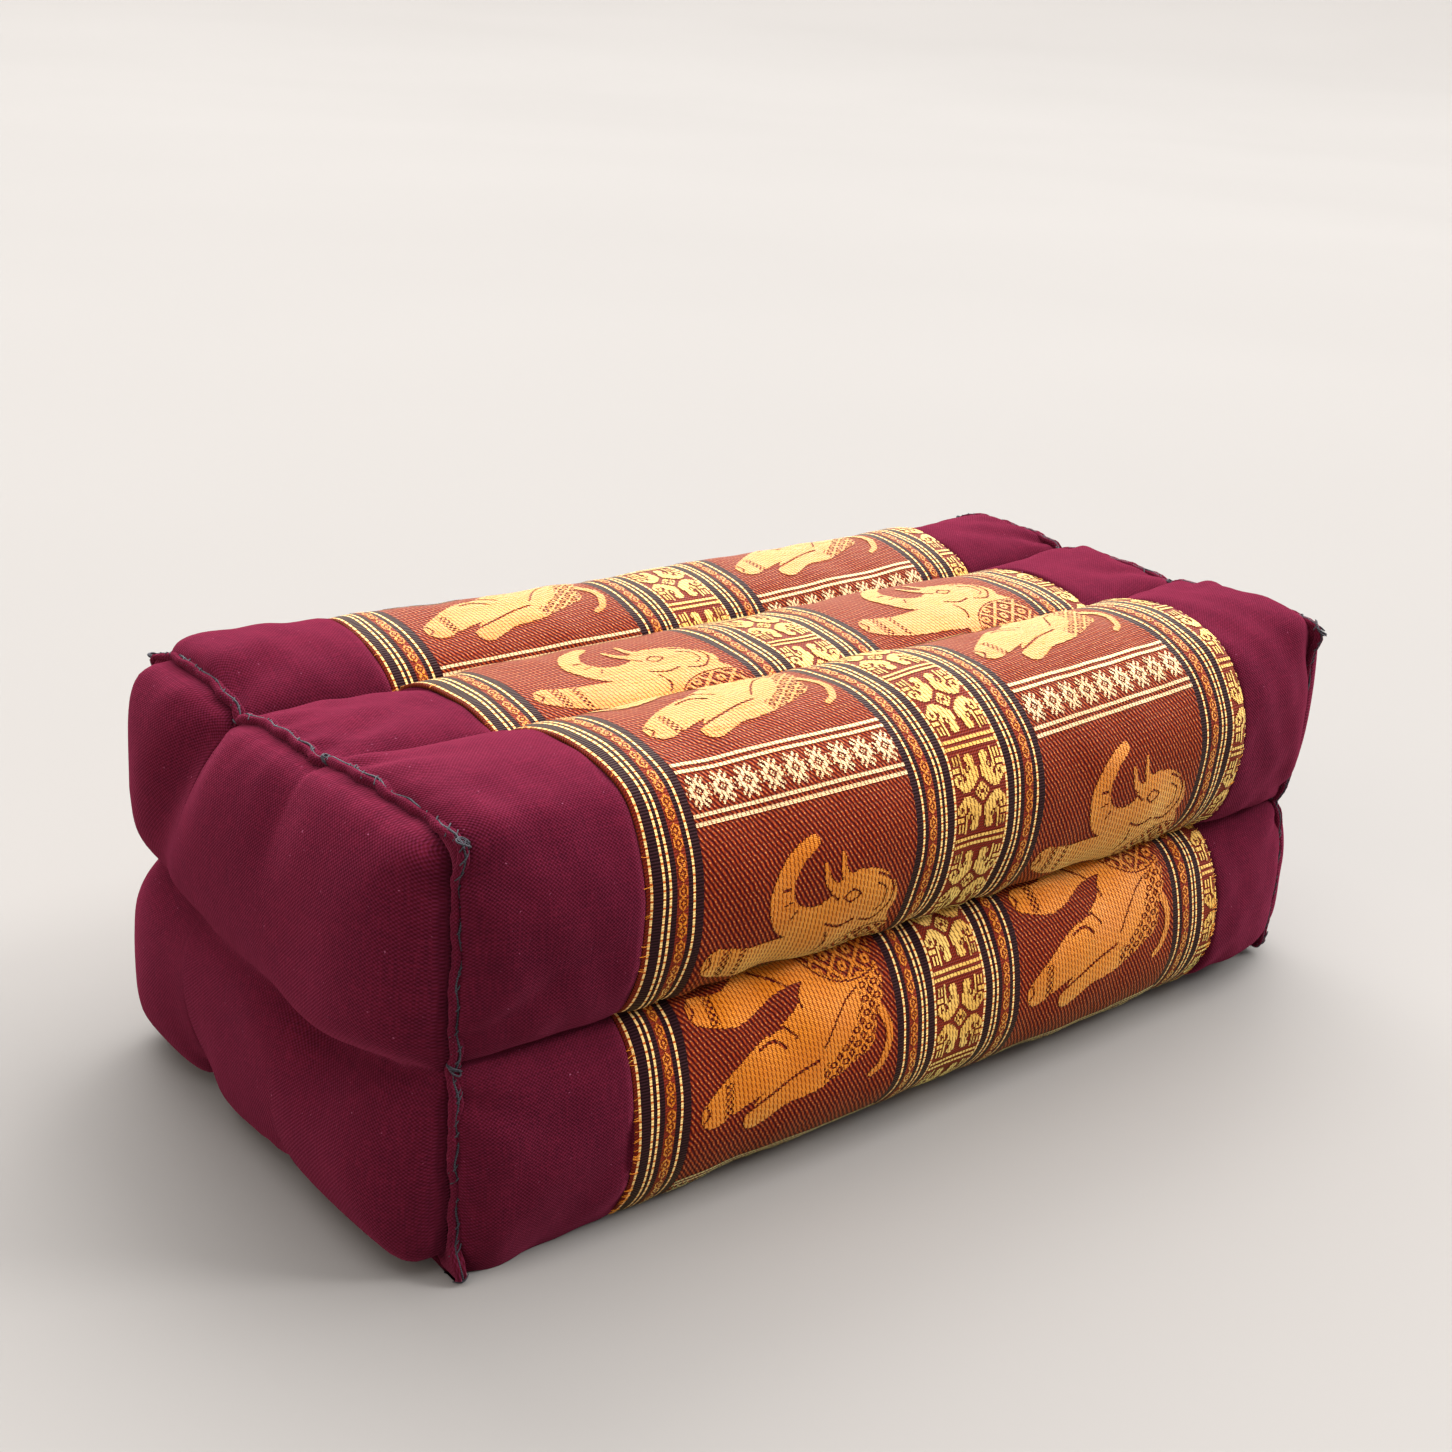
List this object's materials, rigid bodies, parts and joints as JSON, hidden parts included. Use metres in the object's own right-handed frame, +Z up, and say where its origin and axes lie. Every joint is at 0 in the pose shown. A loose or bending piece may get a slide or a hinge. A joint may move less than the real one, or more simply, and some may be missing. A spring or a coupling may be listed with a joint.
{
  "type": "rectangular block cushion",
  "caption": "Firm rectangular block cushion of stuffed lengthwise tubes, with puffed plain cotton ends, overcast corner-eared end seams and a patterned brocade band.",
  "frame": {"origin": "centre of the footprint, on the surface that the cushion rests on", "axes": "+X along the cushion's length, -Y towards its front long side, +Z up"},
  "size_m": [0.3742, 0.184, 0.13],
  "materials": {
    "plain_cotton": "plain-woven shot cotton, dark maroon with a purple sheen",
    "brocade": "silky brocade in rust, gold, cream and near-black",
    "overcast_seam": "rolled cotton edge overcast with dark thread"
  },
  "bodies": {
    "root": {"cushion_body": "plain_cotton", "brocade_panel": "brocade", "end_panel_left": "plain_cotton", "end_panel_right": "plain_cotton", "end_seam_left": "overcast_seam", "end_seam_right": "overcast_seam"}
  },
  "joints": []
}
